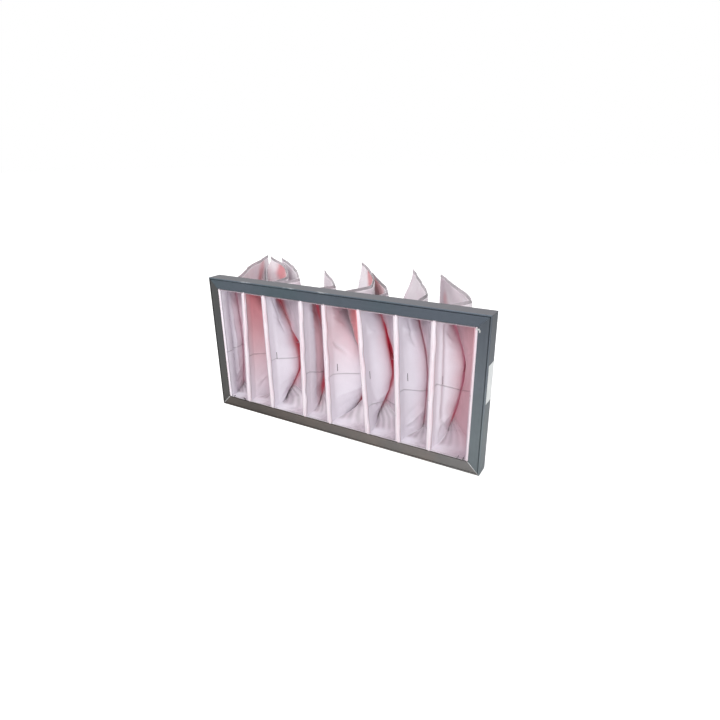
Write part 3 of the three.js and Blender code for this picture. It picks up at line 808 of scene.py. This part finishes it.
def makePocket(index, material):
    skin = PocketSkin(index)
    length, weld, grow = skin.pocket.length, cloth["weld"], cloth["thickness"]
    hemFront = front + cloth["hemFront"]
    hemFull = hemFront + cloth["hemRound"]
    shadow = front + divider["front"] - divider["seat"]
    # Each ring comes with its distance behind the header's front and with how far it is welded
    outer = [
        (skin.mouthRing(hemFront, "hem", 1.0), hemFront - front, 0),
        (skin.mouthRing(hemFull, "hem", grow), hemFull - front, 0),
        (skin.mouthRing(shadow, "hem", grow), shadow - front, 0),
        (skin.mouthRing(shadow, "wall", grow), shadow - front, 0),
    ]
    inner = [
        (skin.mouthRing(hemFront + 0.2, "inside", 0.0), hemFront - front, 0),
        (skin.mouthRing(shadow, "inside", 0.0), shadow - front, 0),
    ]
    for s in stations(length):
        flange = float(ease((s - cloth["weldFrom"]) / cloth["weldOver"]))
        outer.append((skin.ring(s, grow, mix(grow, weld, flange), flange), s + mouthRear - front, flange))
        inner.append((skin.ring(s, 0.0, 0.0, 0.0), s + mouthRear - front, 0))
    shrunk = cloth["weldHalf"] - cloth["edgeRound"]
    for extra in (cloth["edgeRound"], weld / 2, weld):
        s = length - weld + extra
        outer.append((skin.ring(s, shrunk, weld, 1.0), s + mouthRear - front, 2))
    points = np.concatenate([ring for ring, run, welded in outer + inner])
    rows, flaps = cloth["rows"], len(flapShare)
    size = 2 * (rows + flaps)
    innerStart = len(outer) * size
    faces = quadsBetween(len(outer), size, True).tolist()
    faces += (quadsBetween(len(inner), size, False) + innerStart).tolist()
    faces += capFaces(innerStart - size, rows, flaps, True)
    faces += capFaces(len(points) - size, rows, flaps, False)
    for k in range(size):
        faces.append([k, innerStart + k, innerStart + (k + 1) % size, (k + 1) % size])
    piece = addObject(f"pocket_cloth_{index + 1}", points, faces, material)
    writeLayers(piece.data, skin.pocket.lay, outer, inner, points)
    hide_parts(f"pocket_{index + 1}")


# Where the painted red shade and glow begin deep inside, and how much painted shade the top hem gets under
# the rail
shadeReach = {
    "deepFrom": 46.0, "deepOver": 34.0, "deepLead": 12.0,
    "hemShade": 0.75, "hemEnd": -10.0, "hemDrop": 3.2,
}


# Point values for the fabric: run, side and the others that makeFabric reads
def writeLayers(mesh, lay, outer, inner, points):
    rows, flaps = cloth["rows"], len(flapShare)
    rings = outer + inner
    size = 2 * (rows + flaps)
    gusset = np.zeros(size)
    gusset[2 * rows + flaps:] = 1.0
    flap = gusset.copy()
    flap[rows:rows + flaps] = 1.0
    rightShare = np.concatenate([np.zeros(rows), flapShare, np.ones(rows), flapShare[::-1]])
    side = np.tile(rightShare, len(rings))
    inside = np.concatenate([np.zeros(len(outer) * size), np.ones(len(inner) * size)])
    welded = [flap * min(1.0, w) + (1.0 - flap) * max(0.0, w - 1.0) for ring, run, w in rings]
    run = np.repeat([run for ring, run, w in rings], size)
    distance = run - (mouthRear - front)
    height = points[:, 2]
    # Masks of painted reddish shade patches and painted grey shade patches
    masks = {"redShade": np.zeros(len(run)), "greyShade": np.zeros(len(run))}
    for kind in masks:
        for spot in lay[kind]:
            here = side if spot["face"] in ("right", "outRight") else 1.0 - side
            here = here * (1.0 - inside if spot["face"].startswith("out") else inside)
            masks[kind] = np.maximum(masks[kind], here * patchAt(distance, height, spot))
    # Painted shade on the top hem's front, under the rail
    shaded = (distance < shadeReach["hemEnd"]) * (height > openingTop - shadeReach["hemDrop"])
    creaseShade = np.zeros(len(run))
    for fold in lay["creases"]:
        here = inside * (side if fold["wall"] == "right" else 1.0 - side)
        creaseShade = np.maximum(creaseShade, here * creaseShadeAt(distance, height, fold))
    behind = ease((distance + side * shadeReach["deepLead"] - shadeReach["deepFrom"]) / shadeReach["deepOver"])
    share = (height - openingBottom) / openingHeight
    seamZ, slope = lay["seam"]
    layers = {
        "run": run * mm * lay["pale"],
        "inside": inside,
        "side": side,
        "redShade": masks["redShade"],
        "greyShade": np.maximum(masks["greyShade"], shadeReach["hemShade"] * shaded),
        "creaseShade": creaseShade,
        "deep": inside * behind * np.interp(share, *zip(*lay["deep"])),
        "gusset": np.tile(gusset, len(rings)) * inside * ease(distance / 12.0),
        "welded": np.concatenate(welded),
        "seam": (height - seamZ - slope * np.maximum(distance, 0.0)) * mm,
        "along": np.where(np.tile(flap, len(rings)) > 0, run, height) * mm,
    }
    for name, values in layers.items():
        layer = mesh.attributes.new(name, "FLOAT", "POINT")
        layer.data.foreach_set("value", values.astype(np.float32))


# Steel: rolled galvanised sheet, dull and slightly streaked along the rails
def makeSteel(name, base, tint, grain, shadeAndWear=None):
    graph = Graph(name)
    place = graph.place()
    streak = graph.speckle(graph.stretch(place, grain), 1.0, 4.0, 0.6)
    spangle = graph.add("ShaderNodeTexVoronoi", {"feature": "F1"}, {"Vector": place, "Scale": 130.0}, out=1)
    grey = graph.add("ShaderNodeRGBToBW", {}, (spangle,))
    cloud = graph.speckle(place, 6.0, 3.0, 0.5)
    colour = graph.blend(cloud.band(0.35, 0.7), base, tint)
    colour = graph.shade(colour, 0.86 + streak * 0.2 + grey * 0.08)
    if shadeAndWear:
        colour = shadeAndWear(graph, place, colour)
    rough = 0.36 + streak * 0.12 + grey * 0.05
    normal = graph.bump(streak * 0.5 + grey * 0.2, 0.0002, 0.5)
    return graph.surface({
        "Base Color": colour, "Roughness": rough, "Metallic": 0.75, "Normal": normal,
    })


# Rail colours, each tinted with a painted reflection of the room (teal on the top and right rails,
# brown-grey on the bottom and left), and how much paler each grows along its axis as painted light, as
# (place, amount) ends
steel = {
    "rail_top": {
        "base": (0.088, 0.104, 0.128), "tint": (0.072, 0.10, 0.116),
        "along": 0, "ends": ((-0.3, 1.0), (0.3, 1.05)),
    },
    "rail_right": {
        "base": (0.098, 0.112, 0.132), "tint": (0.092, 0.108, 0.115),
        "along": 2, "ends": ((0.27, 0.9), (0.07, 1.75)),
    },
    "rail_bottom": {
        "base": (0.105, 0.09, 0.08), "tint": (0.08, 0.078, 0.076),
        "along": 0, "ends": ((-0.2, 1.05), (0.27, 2.6)),
    },
    "rail_left": {
        "base": (0.10, 0.098, 0.094), "tint": (0.085, 0.09, 0.094),
        "along": 2, "ends": ((0.28, 0.8), (0.0, 0.85)),
    },
}
# scuffs: places, halfLength, depth and rubbed are real wear on the top edge; lit is painted light on the top
# rail's upper face
scuffs = {
    "places": (-0.199, -0.094, -0.02), "halfLength": 0.02, "depth": 0.0025,
    "rubbed": (0.42, 0.44, 0.46), "lit": (0.24, 0.22, 0.235),
}


# A rail's painted light along its length, a painted highlight on its lip line and painted shade in its
# dark groove line, and on the top rail painted light on the upper face and scuffs on the top edge
def makeRailShadeAndWear(name):
    lay = steel[name]

    def shadeAndWear(graph, place, colour):
        split = [graph.add("ShaderNodeSeparateXYZ", {}, (place,), out=k) for k in range(3)]
        x, y, z = split
        # Painted light: paler along the rail's axis
        (start, low), (end, high) = lay["ends"]
        share = (split[lay["along"]] - start) / (end - start)
        toned = graph.shade(colour, low + share.high(0.0).low(1.0) * (high - low))
        outer = {
            "rail_top": header["height"] * mm - z, "rail_bottom": z,
            "rail_left": x + header["width"] / 2 * mm, "rail_right": header["width"] / 2 * mm - x,
        }[name]
        onFace = 1.0 - (y - front * mm).band(0.0004, 0.0014)
        # Painted highlight along the lip and painted shade in the groove
        lipHighlight = (1.0 - outer.band(0.0017, 0.0026)) * onFace
        grooveShade = outer.band(0.0020, 0.0027) * (1.0 - outer.band(0.0034, 0.0042)) * onFace
        toned = graph.shade(toned, 1.0 + lipHighlight * 0.25 - grooveShade * 0.3)
        if name != "rail_top":
            return toned
        # Painted light: the top rail's upper face is lighter
        upper = 1.0 - outer.band(0.0, 0.0006)
        toned = graph.blend(upper * (1.0 - onFace) * 0.5, toned, scuffs["lit"])
        rubbed = graph.speckle(graph.stretch(place, (90.0, 500.0, 500.0)), 1.0, 3.0, 0.6).band(0.44, 0.6)
        near = 0.0
        for spot in scuffs["places"]:
            near = near + (1.0 - abs(x - spot).band(0.3 * scuffs["halfLength"], scuffs["halfLength"]))
        edge = (1.0 - outer.band(0.0002, scuffs["depth"])) * (1.0 - (y - front * mm).band(0.0006, 0.006))
        return graph.blend(rubbed * near * edge * 0.8, toned, scuffs["rubbed"])
    return shadeAndWear


def setMaterial(thing, material):
    thing.data.materials.clear()
    thing.data.materials.append(material)


def dressSteel():
    for name, lay in steel.items():
        grain = (220.0, 220.0, 9.0) if lay["along"] == 2 else (9.0, 220.0, 220.0)
        rail = makeSteel("galvanised_" + name, lay["base"], lay["tint"], grain, makeRailShadeAndWear(name))
        setMaterial(nodes[name], rail)
    plain = makeSteel("bare_steel", (0.42, 0.43, 0.44), (0.36, 0.37, 0.38), (60.0, 60.0, 60.0))
    alloy = makeSteel("rivet_alloy", (0.55, 0.56, 0.57), (0.5, 0.5, 0.5), (90.0, 90.0, 90.0))
    for name, node in nodes.items():
        if name.startswith("rivet"):
            setMaterial(node, alloy)
        elif name.startswith(("corner_plate", "divider_bar", "end_bar", "hem_clamp")):
            setMaterial(node, plain)


# The flat tapes that tie each pocket's walls together at mid height, from the throat to the tail
tape = {
    "start": 62.0, "end": 250.0, "step": 6.0, "half": 0.4,
    "colours": ((0.48, 0.20, 0.25), (0.56, 0.28, 0.32)),
}


def makeTapes():
    graph = Graph("spacer_tape")
    weave = graph.speckle(graph.place(), 900.0)
    colour = graph.blend(weave, *tape["colours"])
    material = graph.surface({"Base Color": colour, "Roughness": 0.9, "Normal": graph.bump(weave, 0.0003)})
    middle = np.array([0.5])
    spots = np.arange(tape["start"], tape["end"], tape["step"])
    for index in range(len(pockets)):
        skin = PocketSkin(index)
        points = []
        for s in spots:
            left, across = skin.wall(s, middle, -1)
            right, across = skin.wall(s, middle, 1)
            a = left[0] + across[0] * divider["seat"]
            b = right[0] - across[0] * divider["seat"]
            for corner, up in ((a, -1), (a, 1), (b, 1), (b, -1)):
                points.append(corner + np.array([0.0, 0.0, up * tape["half"]]))
        piece = addObject(f"wall_tape_{index + 1}", points, tubeFaces(len(spots), 4), material)
        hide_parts(f"spacer_tape_{index + 1}")


# The rolled hem between two pockets, over the front edges of both: a half-round soft strip
strip = {
    "width": 7.4, "front": 0.9, "depth": 4.4, "offset": 1.6, "inset": 0.4, "atEnds": 0.6, "sway": 0.9,
    "swell": 0.16, "rows": 72, "around": 9, "seed": 3, "colours": ((0.76, 0.69, 0.74), (0.74, 0.60, 0.66)),
}


def makeHemStrips():
    material = makeStripCloth()
    turn = np.linspace(0.0, np.pi, strip["around"])
    z = np.linspace(openingBottom + strip["inset"], openingTop - strip["inset"], strip["rows"])
    for k in range(len(pockets) + 1):
        half = strip["width"] / 2 * (strip["atEnds"] if k in (0, len(pockets)) else 1.0)
        inward = {0: half, len(pockets): -half}.get(k, strip["offset"])
        sway = Waves(strip["seed"] + k, 8, 18.0, 70.0, 90.0).at(np.zeros_like(z), z)
        centre = junctionX(k, z) + inward + strip["sway"] * sway
        wide = half * (1.0 + strip["swell"] * sway)
        points = []
        for row in range(len(z)):
            for angle in turn:
                y = front + strip["front"] + strip["depth"] * (1.0 - np.sin(angle) ** 0.8)
                points.append((centre[row] - wide[row] * np.cos(angle), y, z[row]))
        faces = tubeFaces(len(z), strip["around"])
        addObject(f"hem_strip_{k + 1}", points, faces, material)


def makeStripCloth():
    graph = Graph("hem_cloth")
    place = graph.place()
    cloud = graph.speckle(graph.stretch(place, (1.0, 1.0, 0.35)), 60.0, 3.0, 0.6)
    fibre = graph.speckle(place, fabric["fibreScale"], 4.0, 0.7)
    colour = graph.blend(cloud.band(0.35, 0.7), *strip["colours"])
    return graph.surface({
        "Base Color": colour, "Roughness": 0.9, "Normal": graph.bump(cloud * 0.6 + fibre * 0.3, 0.0008, 0.8),
        "Sheen Weight": 0.25, "Sheen Roughness": 0.6, "Specular IOR Level": 0.2,
    })


# Short upright rows of stitches where the spacer tapes are sewn to a pocket's left wall
tack = {
    "height": 15.0, "width": 1.0, "proud": 0.45, "steps": 5,
    "colours": ((0.12, 0.10, 0.12), (0.26, 0.22, 0.25)),
}


def makeTacks():
    graph = Graph("stitch_thread")
    colour = graph.blend(graph.speckle(graph.place(), 500.0), *tack["colours"])
    thread = graph.surface({"Base Color": colour, "Roughness": 0.8})
    halfWidth = tack["width"] / 2
    for index, lay in enumerate(pockets):
        skin = PocketSkin(index)
        points, faces = [], []
        for s, middle in lay["tacks"]:
            faces += tubeFaces(tack["steps"], 4, len(points))
            bottom, top = skin.pocket.heights(s)
            for z in middle + np.linspace(-0.5, 0.5, tack["steps"]) * tack["height"]:
                v = np.full(1, (z - bottom) / (top - bottom))
                start, end = [skin.wall(s + step, v, -1)[0][0] for step in (-halfWidth, halfWidth)]
                along = (end - start) / np.linalg.norm(end - start)
                proud = np.array([along[1], -along[0], 0.0]) * tack["proud"]
                points += [start - proud, end - proud, end + proud, start + proud]
        if points:
            addObject(f"bar_tacks_{index + 1}", points, faces, thread)


# A box's corners are listed with x slowest and z fastest
boxSides = [(0, 1, 3, 2), (4, 6, 7, 5), (0, 4, 5, 1), (2, 3, 7, 6), (0, 2, 6, 4), (1, 5, 7, 3)]

# Bent wire staples through the lower hems of the first and last pockets, as (x, z, tilt in degrees)
staples = {
    "places": ((-260, 25.5, 40), (-231, 25.5, -35), (256, 26.0, 60), (266, 25.5, 75)),
    "length": 6.5, "wire": 1.2, "proud": 0.5,
}


def makeStaples(material):
    points, faces = [], []
    near = front + staples["proud"]
    for x, z, tilt in staples["places"]:
        faces += [[len(points) + k for k in side] for side in boxSides]
        alongX, alongZ = math.cos(math.radians(tilt)), math.sin(math.radians(tilt))
        for end in (-staples["length"] / 2, staples["length"] / 2):
            for y in (near, near + staples["wire"]):
                for half in (-staples["wire"] / 2, staples["wire"] / 2):
                    points.append((x + end * alongX - half * alongZ, y, z + end * alongZ + half * alongX))
    addObject("hem_staples", points, faces, material, smooth=False)


def addBox(name, low, high, material, bevel=0.0):
    corners = [(x, y, z) for x in (low[0], high[0]) for y in (low[1], high[1]) for z in (low[2], high[2])]
    piece = addObject(name, corners, boxSides, material, smooth=False)
    if bevel:
        rounding = piece.modifiers.new("rounding", "BEVEL")
        rounding.width = bevel * mm
        rounding.segments = 2


# A bare paper plate on the right rail's side
plate = {
    "back": -12.5, "ahead": 15.0, "low": 135.0, "high": 203.0, "thickness": 0.25, "off": 0.02,
    "colours": ((0.80, 0.83, 0.83), (0.86, 0.88, 0.88)),
}


def makeSidePlate():
    graph = Graph("bare_plate")
    colour = graph.blend(graph.speckle(graph.place(), 60.0).band(0.4, 0.7), *plate["colours"])
    paper = graph.surface({"Base Color": colour, "Roughness": 0.55})
    near = header["width"] / 2 + plate["off"]
    low = (near, plate["back"], plate["low"])
    high = (near + plate["thickness"], plate["ahead"], plate["high"])
    addBox("side_plate", low, high, paper)


# A small bright tab in the opening's upper right corner: for each of its two boxes, how far its
# sides stand right of the opening's edge, and how far its ends lie below the opening's top
tab = {
    "boxes": {"corner_tab": ((-3.0, 3.5), (5.5, 2.5)), "corner_tab_foot": ((2.0, 4.5), (9.0, 4.5))},
    "proud": 0.05, "depth": 0.7, "bevel": 0.3,
}


def makeCornerTab(material):
    for name, (sides, ends) in tab["boxes"].items():
        low = (openingWidth / 2 + sides[0], front - tab["proud"], openingTop - ends[0])
        high = (openingWidth / 2 + sides[1], front + tab["depth"], openingTop - ends[1])
        addBox(name, low, high, material, tab["bevel"])


# Bright cut edges along the two lower mitres
mitre = {"start": 2.4, "halfWidth": 0.35, "proud": 0.04, "depth": 0.3}


def makeMitreEdges(material):
    for name, side in (("mitre_edge_left", -1), ("mitre_edge_right", 1)):
        points = []
        for reach in (mitre["start"], header["face"]):
            x = side * (header["width"] / 2 - reach)
            for y in (front - mitre["proud"], front + mitre["depth"]):
                for across in (-mitre["halfWidth"], mitre["halfWidth"]):
                    points.append((x + across, y, reach + side * across))
        faces = [loop[::-1] for loop in boxSides]
        addObject(name, points, faces, material)


bpy.context.scene.view_settings.view_transform = "Standard"
makeCamera()
makeRoom()
makeLamps()
makeFloor()
print("camera and stage made")
dressSteel()
print("steel dressed")
fabricMaterial = makeFabric()
for index in range(len(pockets)):
    makePocket(index, fabricMaterial)
print("pockets made")
makeTapes()
makeHemStrips()
makeTacks()
makeSidePlate()
cutEdge = makeSteel("cut_edge", (0.55, 0.56, 0.56), (0.62, 0.62, 0.62), (80.0, 80.0, 80.0))
makeCornerTab(cutEdge)
makeMitreEdges(cutEdge)
makeStaples(makeSteel("staple_wire", (0.09, 0.08, 0.09), (0.13, 0.12, 0.13), (80.0, 80.0, 80.0)))
print("hems, stitches and trim made")
